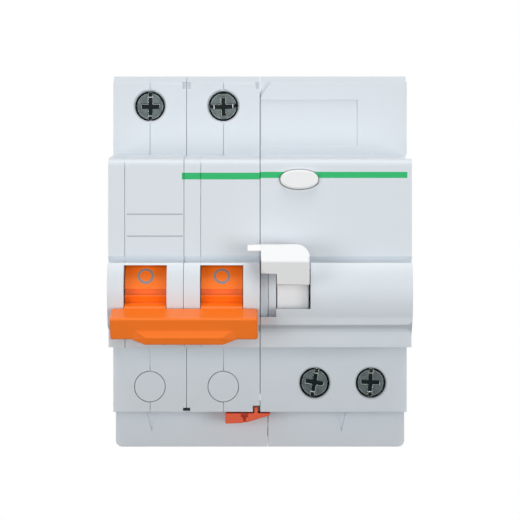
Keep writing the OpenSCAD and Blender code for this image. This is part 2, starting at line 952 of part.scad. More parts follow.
module rail_clip(mid, low) {
    nose_slope = 1.2;
    eye_half = 2;
    eye = [1.4, 2.8];
    color("slategray")
        difference() {
            span_x(mid - clip_w / 2, mid + clip_w / 2)
                polygon([[clip_back, low], [clip_face, low], [clip_face, hook_grip - foot_z],
                    [clip_back + nose_slope, hook_grip - foot_z], [clip_back, -foot_z - nose_slope]]);
            block(mid - eye_half, mid + eye_half, -foot_d, 0, low + eye[0], low + eye[1]);
        }
}

// Add-on case

module addon_housing() {
    left = case_gap;
    right = addon_w - wall;
    side = addon_w - case_gap / 2;
    recess_x = drum_x - fuse;
    ring_in = drum_room - 1.5;
    rib_x = [window_right + free_gap, window_right + free_gap + 1.5];
    rib_half = 5.5;
    shelf_z = [relay_z[0] - 1.4, relay_z[0]];
    shelf_back = face_d - 10;
    seat_half = 4;
    seat_t = 1.6;
    seat_low = button_z - spring_r - 0.7;
    rest_half = 4;
    rest_t = 2;
    bus_rib_t = 3;
    bus_rib_z = [lead_low - 5.5, lead_low - 2];
    post_r = 1.5;
    post_d = [9, 37];
    post_z = [-8, 16];
    panel_right = 23.9;
    panel_z = [26.2, 37.4];
    panel_depth = 0.4;
    wall_in = right + fuse;
    color([0.83, 0.86, 0.89])
        difference() {
            union() {
                difference() {
                    union() {
                        span_x(left, side)
                            case_outline();
                        span_x(cover_end + seam_w, side)
                            base_outline();
                    }
                    span_x(left - over, right)
                        case_hollow();
                    span_x(left - over, right)
                        base_outline(wall);
                }
                // Ring behind the recess beside the lever's drum
                span_x(cover_end + hair_gap, recess_x)
                    translate([pivot_d, pivot_z])
                        difference() {
                            circle(drum_room + fuse);
                            circle(ring_in);
                        }
                // Pivot rib, spring seat, relay shelf, ring shelf, strap rib and board posts
                block(rib_x[0], rib_x[1], pivot_d - rest_half, pivot_d + drum_room + fuse + free_gap,
                    pivot_z - rib_half, pivot_z + rib_half);
                block(button_x - seat_half, button_x + seat_half, spring_seat - seat_t, spring_seat,
                    seat_low, nose_top - wall + fuse);
                block(relay_x[0], relay_x[1], shelf_back, face_d - wall + fuse, shelf_z[0], shelf_z[1]);
                block(ring_x + ring_hole, wall_in, ring_d - rest_half, ring_d + rest_half,
                    ring_z[0] - rest_t, ring_z[0]);
                block(addon_first - cage_half, wall_in, bus_back - bus_rib_t, bus_back,
                    bus_rib_z[0], bus_rib_z[1]);
                for (d = post_d)
                    for (z = post_z)
                        rod_x(right - post_len, wall_in, d, z, post_r);
            }
            rod_x(window_right, rib_x[1] + over, pivot_d, pivot_z, pin_r + pin_play);
            rod_y(button_x, button_z, spring_seat - seat_t - over, spring_seat + over, stem_r + hair_gap);
            oval_y(button_x, button_z, face_d - wall - over, face_d + over, button_l + 2 * side_play,
                button_h + 2 * side_play);
            // Window of the reset lever, in a part of the bulge that stands back
            intersection() {
                span_x(left - over, recess_x)
                    difference() {
                        translate([pivot_d, pivot_z])
                            circle(bulge_r + over);
                        translate([pivot_d, pivot_z])
                            circle(recess_r);
                    }
                block(-over, recess_x, pivot_d, front_end, bulge_lo, bulge_hi);
            }
            block(recess_x, window_right, window_d, front_end, recess_low, bulge_hi);
            for (x = addon_screws) {
                screw_hole(x, addon_z);
                wire_mouth(x, cover_bottom);
            }
            clip_channel(addon_w / 2, cover_bottom - over);
            block(-over, panel_right, shoulder_d - panel_depth, shoulder_d + over, panel_z[0], panel_z[1]);
            corner_cut();
            wire_mark(middle(addon_screws));
            low_corner(side, 1);
        }
}

// Slanted step at the top left corner of the add-on's shoulder
module corner_cut() {
    across = 2.3;
    drop = 3.8;
    depth = 0.8;
    translate([0, -shoulder_d - over, body_top - top_slope])
        rotate([-90, 0, 0])
            linear_extrude(depth + over)
                polygon([[-over, -over], [across, -over], [across, 0], [0, drop], [-over, drop]]);
}

// Rounds a lower corner of the front below the shoulder; s is the side it faces
module low_corner(x, s) {
    translate([x - s * corner_r, -2 * face_d, cover_bottom + corner_r])
        rotate([-90, 0, 0])
            difference() {
                translate([s > 0 ? 0 : -corner_r - over, 0, 0])
                    cube([corner_r + over, corner_r + over, 3 * face_d]);
                translate([0, 0, -over])
                    cylinder(h = 3 * face_d + 2 * over, r = corner_r);
            }
}

// A shallow wedge on the front of the low base that points at a wire entry
module wire_mark(x) {
    half = 1.7;
    depth = 0.35;
    length = 5.4;
    translate([x, -cover_d - over, 0])
        rotate([-90, 0, 0])
            linear_extrude(depth + over)
                polygon([[-half, body_bottom - over], [half, body_bottom - over], [0, body_bottom + length]]);
}

// An oval a little fuller than an ellipse, drawn out along Y
module oval_y(x, z, d0, d1, length, height) {
    step = 6;
    power = 0.9;
    translate([x, -d0, z])
        rotate([90, 0, 0])
            linear_extrude(d1 - d0)
                polygon([
                    for (a = [0 : step : 360 - step])
                        [length / 2 * bent(cos(a), power), height / 2 * bent(sin(a), power)]
                ]);
}

module addon_side_cover() {
    left = pole_x(0) + case_gap / 2;
    top = -body_bottom - case_gap;
    web = 0.5;
    color([0.8, 0.83, 0.86])
        difference() {
            union() {
                span_x(plate_x, cover_end)
                    case_hollow(hair_gap);
                locating_rib(0, plate_x + fuse);
                difference() {
                    block(left, cover_end, cover_back, cover_d, cover_bottom, top);
                    block(left + wall, cover_end + over, cover_back + wall, cover_d - wall,
                        cover_bottom + wall, top + over);
                }
                // Web between the plate and the wiring cover
                block(plate_x, cover_end, cover_back, cover_d - wall - hair_gap,
                    top - web, -body_bottom + wall + web);
            }
            rod_x(plate_x + skin, cover_end + over, pivot_d, pivot_z, pin_r + pin_play);
            latch_tongue(side_play, latch_travel);
            wire_mark(pole_mid(0));
            low_corner(left, -1);
        }
}

// Tongue of the coupling latch, or with room and travel the slot for it in the wiring cover
module latch_tongue(room, travel) {
    block(tongue_x[0] - room, tongue_x[1] + room, cover_d - wall - over, cover_d + over,
        tongue_z[0] - travel - room, tongue_z[1] + room);
}

module coupling_latch() {
    top = -body_bottom - 0.35;
    left = -8.5;
    right = 2.5;
    step_x = -3.6;
    drop = 2.6;
    step_drop = 2.4;
    tip = 0.5;
    keeper_d = [cover_d - wall - fuse - 1.2, cover_d - wall - fuse];
    keeper_lap = 0.5;
    slit = [[-4.6, -3, 0.9], [-4.1, -3.5, 3]];
    slit_depth = 2;
    color([0.8, 0.3, 0.18])
        difference() {
            union() {
                translate([0, -latch_front, 0])
                    rotate([-90, 0, 0])
                        linear_extrude(latch_front - cover_d - free_gap)
                            polygon([[left, -top], [right, -top], [right, tip - top], [step_x, step_drop - top],
                                [left, drop - top]]);
                block(tab_x[0], tab_x[1], latch_front - tab_t, latch_front, top - fuse, tab_top);
                latch_tongue(0, 0);
                // Keeper behind the wiring cover's wall
                block(tongue_x[0] - keeper_lap, tongue_x[1] + keeper_lap, keeper_d[0], keeper_d[1],
                    tongue_z[0] - free_gap, tongue_z[1]);
            }
            for (s = slit)
                block(s[0], s[1], latch_front - slit_depth, latch_front + over, top - s[2], top + over);
        }
}

// Reset lever and test button

module reset_lever() {
    top = pivot_z + 11.55;
    back_top = pivot_d + 10;
    back_mid = [pivot_d + 11.2, pivot_z + 7];
    front_top = pivot_d + 15.6;
    ridge = [pivot_d + 20, pivot_z + 7.6];
    toe = [pivot_d + 18.1, pivot_z + 1.9];
    heel = [pivot_d + 13, pivot_z + 2.6];
    step_top = pivot_z + 4.6;
    corner = 3.2;
    neck = [8.5, bulge_r + 0.8];
    arm_t = 1.75;
    arm_back = pivot_d + 11;
    arm_front = pivot_d + 16.8;
    color([0.95, 0.95, 0.94])
        difference() {
            union() {
                difference() {
                    union() {
                        rod_x(drum_x, lever_end, pivot_d, pivot_z, drum_r);
                        translate([0, -pivot_d, pivot_z])
                            span_x(drum_x, lever_end)
                                polygon([
                                    neck[0] * way(neck_angles[0]), neck[1] * way(neck_angles[0]),
                                    neck[1] * way(neck_angles[1]), neck[0] * way(neck_angles[1])
                                ]);
                        span_x(lever_x, lever_end)
                            polygon([heel, toe, ridge, [front_top, top], [back_top, top], back_mid]);
                    }
                    block(lever_x - over, drum_x - hair_gap, pivot_d, ridge[0] + over, pivot_z, step_top);
                    translate([lever_end - corner, -ridge[0] - over, top - corner])
                        rotate([-90, 0, 0])
                            difference() {
                                translate([0, -corner - over, 0])
                                    cube([corner + over, corner + over, pivot_back + corner]);
                                translate([0, 0, -over])
                                    cylinder(h = pivot_back + corner + 2 * over, r = corner);
                            }
                }
                // Arm over the breaker's tie bar
                span_x(lever_x - arm_reach, lever_x + fuse)
                    polygon([
                        [arm_back, top - arm_t], [arm_front, top - arm_t], [front_top, top], [arm_back, top]
                    ]);
            }
            rod_x(drum_x - over, lever_end + over, pivot_d, pivot_z, pin_r + pin_play);
        }
}

module lever_pin() {
    in_rib = 1.65;
    color("silver")
        rod_x(plate_x + skin + hair_gap, window_right + in_rib, pivot_d, pivot_z, pin_r);
}

module test_button() {
    proud = 1.2;
    collar = 0.9;
    color([0.95, 0.96, 0.96]) {
        oval_y(button_x, button_z, button_foot, face_d + proud, button_l, button_h);
        oval_y(button_x, button_z, button_foot, face_d - wall - free_gap,
            button_l + collar, button_h + collar);
        rod_y(button_x, button_z, button_back, button_foot + over, stem_r);
    }
}

module test_spring() {
    color("silver")
        difference() {
            rod_y(button_x, button_z, spring_seat + hair_gap, button_foot - hair_gap, spring_r);
            rod_y(button_x, button_z, spring_seat - over, button_foot + over, stem_r + side_play);
        }
}

module test_contact() {
    half = 2.3;
    thick = 0.6;
    front = button_back - button_travel - hair_gap;
    low = 9;
    color("peru")
        block(button_x - half, button_x + half, front - thick, front, low, nose_top - wall);
}

// Sensing, electronics and conductors of the add-on

module sensing_ring() {
    color("darkslateblue")
        difference() {
            rod_z(ring_x, ring_d, ring_z[0], ring_z[1], ring_r);
            rod_z(ring_x, ring_d, ring_z[0] - over, ring_z[1] + over, ring_hole);
        }
}

module circuit_board() {
    span_d = [6, 40];
    span_z = [-10.5, 20];
    color("darkgreen")
        block(board_face, board_face + board_t, span_d[0], span_d[1], span_z[0], span_z[1]);
}

// A chip, three round capacitors and a row of four resistors
module board_parts() {
    chip_t = 1.6;
    chip_d = [12, 18];
    chip_z = [10, 15];
    can_r = 2.2;
    can_len = 5;
    can_d = [22, 28, 34];
    can_z = 16;
    small_t = 1.2;
    small_l = 2.5;
    small_d = [9, 13, 17, 21];
    small_z = [4, 5.5];
    color("black") {
        block(board_face - chip_t, board_face, chip_d[0], chip_d[1], chip_z[0], chip_z[1]);
        for (d = can_d)
            rod_x(board_face - can_len, board_face, d, can_z, can_r);
        for (d = small_d)
            block(board_face - small_t, board_face, d, d + small_l, small_z[0], small_z[1]);
    }
}

module trip_relay() {
    color("lightslategray")
        difference() {
            block(relay_x[0], relay_x[1], relay_d[0], relay_d[1], relay_z[0], relay_z[1]);
            rod_x(relay_x[0] - over, middle(relay_x), middle(relay_d), middle(relay_z), relay_r + pin_play);
        }
}

module relay_plunger() {
    reach = 3.8;
    depth = 5;
    color("gray")
        rod_x(relay_x[0] - reach, relay_x[0] + depth, middle(relay_d), middle(relay_z), relay_r);
}

// Bars from the lower breaker clamps, under the breaker and up behind the sensing ring
module link_prongs() {
    color("peru")
        for (i = POLES) {
            block(pole_mid(i) - blade_half, pole_mid(i) + blade_half, cage_rear + cage_travel, bus_back,
                -body_bottom - over, lower_z + cage_h / 2 - over);
            bar_path([
                [pole_mid(i), blade_d, -body_bottom - over], [pole_mid(i), blade_d, run_z[i]],
                [turn_x, blade_d, run_z[i]], [turn_x, riser_d, run_z[i]],
                [lead_x[i], riser_d, run_z[i]], [lead_x[i], riser_d, lead_top]
            ], bar_half);
        }
}

// Bars over and down through the sensing ring to the add-on's clamps
module load_bars() {
    color("peru")
        for (i = POLES) {
            screw = addon_screws[1 - i];
            bar_path([
                [lead_x[i], riser_d - bar_half, lead_top + bar_half], [lead_x[i], ring_d, lead_top + bar_half],
                [lead_x[i], ring_d, lead_low], [screw, ring_d, lead_low]
            ], bar_half);
            block(screw - bus_half, screw + bus_half, ring_d - bar_half, bus_front,
                lead_low - bar_half, lead_low + bar_half);
            bus_strap(screw, addon_z - cage_h / 2, lead_low);
        }
}

case_left(0);  // pole_1_case_left
case_right(0);  // pole_1_case_right
case_left(1);  // pole_2_case_left
case_right(1);  // pole_2_case_right
pole_rivets();
toggle(0);  // toggle_1
toggle(1);  // toggle_2
toggle_pins();
handle_bar();
drive_links();
contact_arms();
contact_pads();
arm_pins();
fixed_contacts();
fixed_pads();
trip_coils();
coil_bobbins();
plunger(0);  // plunger_1
plunger(1);  // plunger_2
coil_yokes();
trip_levers();
trip_shaft();
bimetal_strips();
arc_plates();
arc_frames();
line_straps();
load_straps();
clamp_cage(pole_mid(0), upper_z, 0);  // upper_cage_1
clamp_cage(pole_mid(1), upper_z, 0);  // upper_cage_2
upper_screw(0);  // upper_screw_1
upper_screw(1);  // upper_screw_2
lower_cages();
lower_screws();
terminal_caps();
rail_clip(breaker_mid, -body_bottom - clip_tail[0]);  // breaker_rail_clip
addon_housing();
addon_side_cover();
reset_lever();
lever_pin();
test_button();
test_spring();
test_contact();
sensing_ring();
circuit_board();
board_parts();
trip_relay();
relay_plunger();
clamp_cage(addon_screws[0], addon_z, 0);  // addon_cage_1
clamp_cage(addon_screws[1], addon_z, 0);  // addon_cage_2
addon_screw(0);  // addon_screw_1
addon_screw(1);  // addon_screw_2
link_prongs();
load_bars();
coupling_latch();
rail_clip(addon_w / 2, cover_bottom - clip_tail[1]);  // addon_rail_clip
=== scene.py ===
import json
import math
import bmesh
import bpy
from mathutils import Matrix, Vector


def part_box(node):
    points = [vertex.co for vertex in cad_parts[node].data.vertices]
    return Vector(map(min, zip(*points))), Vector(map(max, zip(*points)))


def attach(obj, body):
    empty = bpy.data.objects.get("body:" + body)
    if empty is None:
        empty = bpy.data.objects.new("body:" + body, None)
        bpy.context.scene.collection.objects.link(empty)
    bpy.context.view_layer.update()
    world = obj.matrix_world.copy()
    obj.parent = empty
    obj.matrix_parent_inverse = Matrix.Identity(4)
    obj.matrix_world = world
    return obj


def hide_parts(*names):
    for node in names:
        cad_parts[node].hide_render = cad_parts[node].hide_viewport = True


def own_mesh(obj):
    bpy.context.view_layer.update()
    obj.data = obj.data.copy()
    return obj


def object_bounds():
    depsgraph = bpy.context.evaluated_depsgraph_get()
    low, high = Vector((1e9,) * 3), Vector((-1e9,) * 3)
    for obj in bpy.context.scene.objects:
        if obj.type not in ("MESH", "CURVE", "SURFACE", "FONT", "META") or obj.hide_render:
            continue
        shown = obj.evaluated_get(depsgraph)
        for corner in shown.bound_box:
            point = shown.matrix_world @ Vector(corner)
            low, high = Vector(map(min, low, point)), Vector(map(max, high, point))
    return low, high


# Look of the rail-mounted residual current device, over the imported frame
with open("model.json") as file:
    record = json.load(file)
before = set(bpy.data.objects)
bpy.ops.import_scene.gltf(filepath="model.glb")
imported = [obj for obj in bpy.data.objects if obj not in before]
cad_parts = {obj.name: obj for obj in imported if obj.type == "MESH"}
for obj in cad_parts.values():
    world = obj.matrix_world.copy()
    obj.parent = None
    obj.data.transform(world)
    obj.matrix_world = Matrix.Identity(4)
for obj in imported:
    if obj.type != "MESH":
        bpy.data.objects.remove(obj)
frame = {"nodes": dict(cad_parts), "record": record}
cadLow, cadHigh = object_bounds()
mm = 0.001
nodes = frame["nodes"]
record = frame["record"]
bodyOf = {node: body for body, held in record["behaviour"]["bodies"].items() for node in held}
slotOf = {part["node"]: part["material_slot"] for part in record["subparts"]}
jointPlace = {joint["name"]: joint["pos_m"] for joint in record["behaviour"]["joints"]}
bpy.context.scene.view_settings.view_transform = "Standard"
print("frame loaded:", len(nodes), "nodes")

mixSockets = {"under": 6, "over": 7, "result": 2}  # of a Mix node that mixes colours
plainWhite = (1.0, 1.0, 1.0, 1.0)


# The sRGB curve, from a hex value to linear light
def toLinear(hexColour):
    channels = [int(hexColour[k:k + 2], 16) / 255 for k in (1, 3, 5)]
    linear = [c / 12.92 if c <= 0.04045 else ((c + 0.055) / 1.055) ** 2.4 for c in channels]
    return (*linear, 1.0)


# Adds one node; an input that is a socket is linked, any other value is set
def addNode(tree, kind, inputs=None, **settings):
    node = tree.nodes.new(kind)
    for key, value in settings.items():
        setattr(node, key, value)
    for key, value in (inputs or {}).items():
        if isinstance(value, bpy.types.NodeSocket):
            tree.links.new(value, node.inputs[key])
        else:
            node.inputs[key].default_value = value
    return node


# A new material with its shader, and the piece's own coordinates
def startMaterial(name):
    material = bpy.data.materials.new(name)
    material.use_nodes = True
    tree = material.node_tree
    tree.nodes.clear()
    shader = addNode(tree, "ShaderNodeBsdfPrincipled")
    addNode(tree, "ShaderNodeOutputMaterial", {"Surface": shader.outputs["BSDF"]})
    place = addNode(tree, "ShaderNodeTexCoord").outputs["Object"]
    return material, tree, shader, place


# The uneven skin of any of these surfaces: colour drift, roughness drift and a grain
skinSet = {"cloudDetail": 3.0, "grainDetail": 4.0, "grainDeepMm": 0.02}


def addSkin(tree, shader, place, look):
    colour = toLinear(look["colour"])[:3]
    rough, roughDrift = look["rough"], look["roughDrift"]
    cloud = addNode(tree, "ShaderNodeTexNoise", {
        "Vector": place, "Scale": 1 / (look["cloudMm"] * mm), "Detail": skinSet["cloudDetail"]})
    darker = tuple(c * (1 - look["drift"]) for c in colour) + (1.0,)
    lighter = tuple(min(1.0, c * (1 + look["drift"])) for c in colour) + (1.0,)
    shade = addNode(tree, "ShaderNodeMix", {
        "Factor": cloud.outputs[0], mixSockets["under"]: darker, mixSockets["over"]: lighter},
        data_type="RGBA")
    fine = addNode(tree, "ShaderNodeTexNoise", {
        "Vector": place, "Scale": 1 / (look["grainMm"] * mm), "Detail": skinSet["grainDetail"]})
    polish = addNode(tree, "ShaderNodeMapRange", {
        "Value": fine.outputs[0], "To Min": rough - roughDrift, "To Max": rough + roughDrift})
    bump = addNode(tree, "ShaderNodeBump", {
        "Strength": look["bump"], "Distance": skinSet["grainDeepMm"] * mm,
        "Height": fine.outputs[0]})
    surface = shade.outputs[mixSockets["result"]]
    tree.links.new(surface, shader.inputs["Base Color"])
    tree.links.new(polish.outputs["Result"], shader.inputs["Roughness"])
    tree.links.new(bump.outputs["Normal"], shader.inputs["Normal"])
    return surface


# Lays another colour over the skin where the mask is 1
def addPrint(tree, shader, under, mask, hexColour):
    ink = addNode(tree, "ShaderNodeMix", {
        "Factor": mask, mixSockets["under"]: under, mixSockets["over"]: toLinear(hexColour)},
        data_type="RGBA")
    tree.links.new(ink.outputs[mixSockets["result"]], shader.inputs["Base Color"])
    return ink.outputs[mixSockets["result"]]


# A mask that is 1 inside a box, in millimetres; None leaves an axis free
def boxMask(tree, place, spans):
    axes = addNode(tree, "ShaderNodeSeparateXYZ", {"Vector": place})
    mask = None
    for axis, span in enumerate(spans):
        if span is None:
            continue
        low, high = span
        inside = addNode(tree, "ShaderNodeMath", {
            0: axes.outputs[axis], 1: (low + high) / 2 * mm, 2: (high - low) / 2 * mm},
            operation="COMPARE").outputs[0]
        if mask is not None:
            inside = addNode(tree, "ShaderNodeMath", {0: mask, 1: inside},
                             operation="MULTIPLY").outputs[0]
        mask = inside
    return mask


# Case: polyamide moulded against a spark-eroded tool, so it is matt with a fine even grain
# and a soft highlight
caseLook = {"colour": "#d9e0e6", "drift": 0.012, "rough": 0.36, "roughDrift": 0.05,
            "cloudMm": 9, "grainMm": 0.35, "bump": 0.1, "ior": 1.53, "specular": 0.35}
# Pad prints on the label face: green stripes and thin grey rules, as spans in X and Z,
# and the face's span in Y
printLook = {"green": "#14b468", "grey": "#98a0ab", "face": (-61, -58.9),
             "stripes": [((-18.5, -0.05), (17.3, 18.9)), ((0.05, 34.9), (17.65, 19.1))],
             "rules": [((-31.5, -18.3), (8.95, 9.2)), ((-31.5, -18.3), (3.75, 4.0))]}


def casePlastic():
    material, tree, shader, place = startMaterial("mouldedPolyamide")
    surface = addSkin(tree, shader, place, caseLook)
    for kind, ink in (("stripes", "green"), ("rules", "grey")):
        for across, up in printLook[kind]:
            mask = boxMask(tree, place, [across, printLook["face"], up])
            surface = addPrint(tree, shader, surface, mask, printLook[ink])
    shader.inputs["IOR"].default_value = caseLook["ior"]
    shader.inputs["Specular IOR Level"].default_value = caseLook["specular"]
    return material


# Orange handle: polyamide dyed through, with a satin moulded skin
handleLook = {"colour": "#ff7b16", "drift": 0.02, "rough": 0.36, "roughDrift": 0.05,
              "cloudMm": 6, "grainMm": 0.4, "bump": 0.06, "ior": 1.53, "specular": 0.35}
# Grey ring printed on each drum, at an angle above the pivot's level; the two drums are
# mirrored about the fold and their middles stand to its sides
ringLook = {"colour": "#8c8c90", "outerMm": 2.0, "lineMm": 0.62, "degrees": 24.5,
            "foldMm": -18.025, "sideMm": 9.0}


def handlePlastic():
    material, tree, shader, place = startMaterial("dyedPolyamide")
    surface = addSkin(tree, shader, place, handleLook)
    pivot = jointPlace["handle_turn"]
    turn = math.radians(ringLook["degrees"])
    halfLine = ringLook["lineMm"] / 2
    # the pivot goes to the origin and the ring's middle to its front
    centred = addNode(tree, "ShaderNodeVectorMath", {
        0: place, 1: (ringLook["foldMm"] * mm, pivot[1], pivot[2])}, operation="SUBTRACT")
    levelled = addNode(tree, "ShaderNodeMapping", {
        "Vector": centred.outputs[0], "Rotation": (turn, 0, 0)})
    axes = addNode(tree, "ShaderNodeSeparateXYZ", {"Vector": levelled.outputs[0]})
    folded = addNode(tree, "ShaderNodeMath", {0: axes.outputs["X"]}, operation="ABSOLUTE")
    across = addNode(tree, "ShaderNodeMath", {
        0: folded.outputs[0], 1: ringLook["sideMm"] * mm}, operation="SUBTRACT")
    flat = addNode(tree, "ShaderNodeCombineXYZ", {"X": across.outputs[0], "Z": axes.outputs["Z"]})
    reach = addNode(tree, "ShaderNodeVectorMath", {0: flat.outputs[0]}, operation="LENGTH")
    line = addNode(tree, "ShaderNodeMath", {
        0: reach.outputs["Value"], 1: (ringLook["outerMm"] - halfLine) * mm, 2: halfLine * mm},
        operation="COMPARE")
    front = addNode(tree, "ShaderNodeMath", {0: axes.outputs["Y"], 1: 0.0}, operation="LESS_THAN")
    mask = addNode(tree, "ShaderNodeMath", {0: line.outputs[0], 1: front.outputs[0]},
                   operation="MULTIPLY")
    addPrint(tree, shader, surface, mask.outputs[0], ringLook["colour"])
    shader.inputs["IOR"].default_value = handleLook["ior"]
    shader.inputs["Specular IOR Level"].default_value = handleLook["specular"]
    return material


# White polyamide from a smooth tool: even, with a soft shine
leverLook = {"colour": "#ecedee", "drift": 0.01, "rough": 0.34, "roughDrift": 0.05,
             "cloudMm": 7, "grainMm": 0.4, "bump": 0.05, "ior": 1.53}
# Red-orange polyamide: satin, with a slight drift of the dye
latchLook = {"colour": "#ea5426", "drift": 0.03, "rough": 0.4, "roughDrift": 0.06,
             "cloudMm": 5, "grainMm": 0.35, "bump": 0.08, "ior": 1.53}
# Dark polyamide of bobbins, trip levers and rail clips: dull and a little cloudy
innerLook = {"colour": "#3c4043", "drift": 0.06, "rough": 0.5, "roughDrift": 0.08,
             "cloudMm": 6, "grainMm": 0.3, "bump": 0.15, "ior": 1.53}
# Black polybutylene of relay, sensing ring and board parts: satin
blackLook = {"colour": "#26282b", "drift": 0.08, "rough": 0.45, "roughDrift": 0.08,
             "cloudMm": 4, "grainMm": 0.3, "bump": 0.12, "ior": 1.55}
# Vulcanised fibre sheet: buff, dull and finely mottled
fibreLook = {"colour": "#b8a684", "drift": 0.12, "rough": 0.7, "roughDrift": 0.08,
             "cloudMm": 1.2, "grainMm": 0.2, "bump": 0.3, "ior": 1.5}
# Lacquered laminate board: green, with the shine of the lacquer
boardLook = {"colour": "#2c6b3c", "drift": 0.1, "rough": 0.3, "roughDrift": 0.06,
             "cloudMm": 0.8, "grainMm": 0.3, "bump": 0.1, "ior": 1.5}


def plainPlastic(name, look):
    material, tree, shader, place = startMaterial(name)
    addSkin(tree, shader, place, look)
    shader.inputs["IOR"].default_value = look["ior"]
    return material


# Zinc plate on steel: grey, with a clouded shine
steelLook = {"colour": "#9ea2a7", "drift": 0.08, "rough": 0.34, "roughDrift": 0.1,
             "cloudMm": 3, "grainMm": 0.25, "bump": 0.1}
# Bare rolled copper: warm, half bright and unevenly dulled
copperLook = {"colour": "#c07b4c", "drift": 0.12, "rough": 0.32, "roughDrift": 0.1,
              "cloudMm": 4, "grainMm": 0.25, "bump": 0.08}
# Silver contact alloy: pale and bright
silverLook = {"colour": "#dad8d2", "drift": 0.05, "rough": 0.28, "roughDrift": 0.1,
              "cloudMm": 2, "grainMm": 0.2, "bump": 0.08}


def plainMetal(name, look):
    material, tree, shader, place = startMaterial(name)
    addSkin(tree, shader, place, look)
    shader.inputs["Metallic"].default_value = 1.0
    return material


# Black-passivated screws: painted shade darkens all that lies behind the head's top face, slots
# included, and the edges are painted bright, partly as zinc where the coat is rubbed through and
# partly as a painted glint
screwLook = {"colour": "#4b5353", "drift": 0.5, "rough": 0.27, "roughDrift": 0.12,
             "cloudMm": 1.2, "grainMm": 0.25, "bump": 0.2,
             "wornGlintColour": "#d0d8d6", "wornGlintMm": 0.25, "wornGlintFrom": (0.99, 0.85), "wornGlintSamples": 8,
             "paintedSlotShadeColour": "#161c1c", "slotShadeFromMm": 0.35}


def wornMetalWithPaintedLight(name, look):
    material, tree, shader, place = startMaterial(name)
    surface = addSkin(tree, shader, place, look)
    shader.inputs["Metallic"].default_value = 1.0
    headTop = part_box("upper_screw_1")[0][1] / mm
    # painted shade: everything more than slotShadeFromMm behind the head's top face is darkened,
    # as if in the slot's shadow
    paintedSlotShade = boxMask(tree, place, [None, (headTop + look["slotShadeFromMm"], 0), None])
    surface = addPrint(tree, shader, surface, paintedSlotShade, look["paintedSlotShadeColour"])
    # near an edge the rounded normal leans away from the face's own, and there the colour is
    # painted bright: partly zinc where the coat is worn, partly a painted glint
    rounded = addNode(tree, "ShaderNodeBevel", {"Radius": look["wornGlintMm"] * mm},
                      samples=look["wornGlintSamples"])
    flat = addNode(tree, "ShaderNodeNewGeometry")
    likeness = addNode(tree, "ShaderNodeVectorMath", {
        0: rounded.outputs["Normal"], 1: flat.outputs["Normal"]}, operation="DOT_PRODUCT")
    wearAndGlint = addNode(tree, "ShaderNodeMapRange", {
        "Value": likeness.outputs["Value"], "From Min": look["wornGlintFrom"][0],
        "From Max": look["wornGlintFrom"][1]})
    addPrint(tree, shader, surface, wearAndGlint.outputs["Result"], look["wornGlintColour"])
    return material


materials = {
    "case_plastic": casePlastic(),
    "handle_plastic": handlePlastic(),
    "lever_plastic": plainPlastic("whitePolyamide", leverLook),
    "latch_plastic": plainPlastic("redOrangePolyamide", latchLook),
    "inner_plastic": plainPlastic("darkPolyamide", innerLook),
    "black_plastic": plainPlastic("blackPolybutylene", blackLook),
    "fibre": plainPlastic("vulcanisedFibre", fibreLook),
    "board": plainPlastic("lacqueredLaminate", boardLook),
    "steel": plainMetal("zincPlatedSteel", steelLook),
    "dark_steel": wornMetalWithPaintedLight("blackPassivatedSteel", screwLook),
    "copper": plainMetal("bareCopper", copperLook),
    "silver": plainMetal("silverAlloy", silverLook),
}
for node, slot in slotOf.items():
    mesh = nodes[node].data
    mesh.materials.clear()
    mesh.materials.append(materials[slot])
print("materials assigned:", len(materials))

# Copies of the CAD nodes that show, merged, with their outer edges really rounded: the radius
# by node, in millimetres
easeSet = {
    "pole_1_case_left": 0.4, "pole_1_case_right": 0.4,
    "pole_2_case_left": 0.4, "pole_2_case_right": 0.4,
    "addon_housing": 0.4, "addon_side_cover": 0.4, "terminal_caps": 0.15,
    "toggle_1": 0.3, "toggle_2": 0.3, "handle_bar": 0.5, "reset_lever": 0.4,
    "test_button": 0.5, "coupling_latch": 0.2, "breaker_rail_clip": 0.25,
    "addon_rail_clip": 0.25, "pole_rivets": 0.15, "upper_screw_1": 0.15,
    "upper_screw_2": 0.15, "addon_screw_1": 0.15, "addon_screw_2": 0.15,
}
# These have many small steps, so each of their runs of edges is rounded by itself, as far as
# its neighbours let it
steppedNodes = ("pole_1_case_left", "pole_1_case_right", "pole_2_case_left",
                "pole_2_case_right", "addon_housing", "addon_side_cover", "toggle_1", "toggle_2")
# An edge is rounded if its faces turn by more than these degrees and have room for the radius,
# or else for a share of it, and if its run is long enough
easeFrom = {"degrees": 35, "steps": 3, "shares": (1.0, 0.4), "room": 2.2,
            "probes": (0.1, 0.5, 0.9), "levelRadians": 0.01, "runMm": 3}
# Along a joint between two cases, which are planes of X, the radius is small, so that the joint
# stays a fine line
jointSet = {"acrossMm": (-18, 0), "nearMm": 0.25, "radiusMm": 0.04}
# Vertices closer than this are one, and faces that turn by less are one
mergeSet = {"closeMm": 0.001, "degrees": 0.3}
# Large faces are shaded flat up to their edges, and the rest smooth up to an angle
shadeSet = {"flatMm2": 2.5, "flatDegrees": 8, "smoothDegrees": 40, "areaWeight": 100}
# Under the bulge of the add-on the case sweeps back in a soft wave: these edges, outer and
# inner, have large radii
waveSet = {"node": "addon_housing", "upMm": (-18.9, -16.9), "frontMm": -57, "radiusMm": 1.3}


# Only the object given is selected and active
def takeAlone(piece):
    bpy.ops.object.select_all(action="DESELECT")
    piece.select_set(True)
    bpy.context.view_layer.objects.active = piece


def isSharp(edge):
    sharpFrom = math.radians(easeFrom["degrees"])
    return len(edge.link_faces) == 2 and edge.calc_face_angle(0) > sharpFrom


def byJoint(edge):
    near = jointSet["nearMm"] * mm
    return edge.is_convex and any(all(abs(vert.co.x - across * mm) < near for vert in edge.verts)
                                  for across in jointSet["acrossMm"])


def offJoint(edge):
    return edge.is_convex and not byJoint(edge)


def inWave(edge):
    low, high = waveSet["upMm"]
    front = waveSet["frontMm"] * mm
    return all(low * mm < vert.co.z < high * mm and vert.co.y < front for vert in edge.verts)


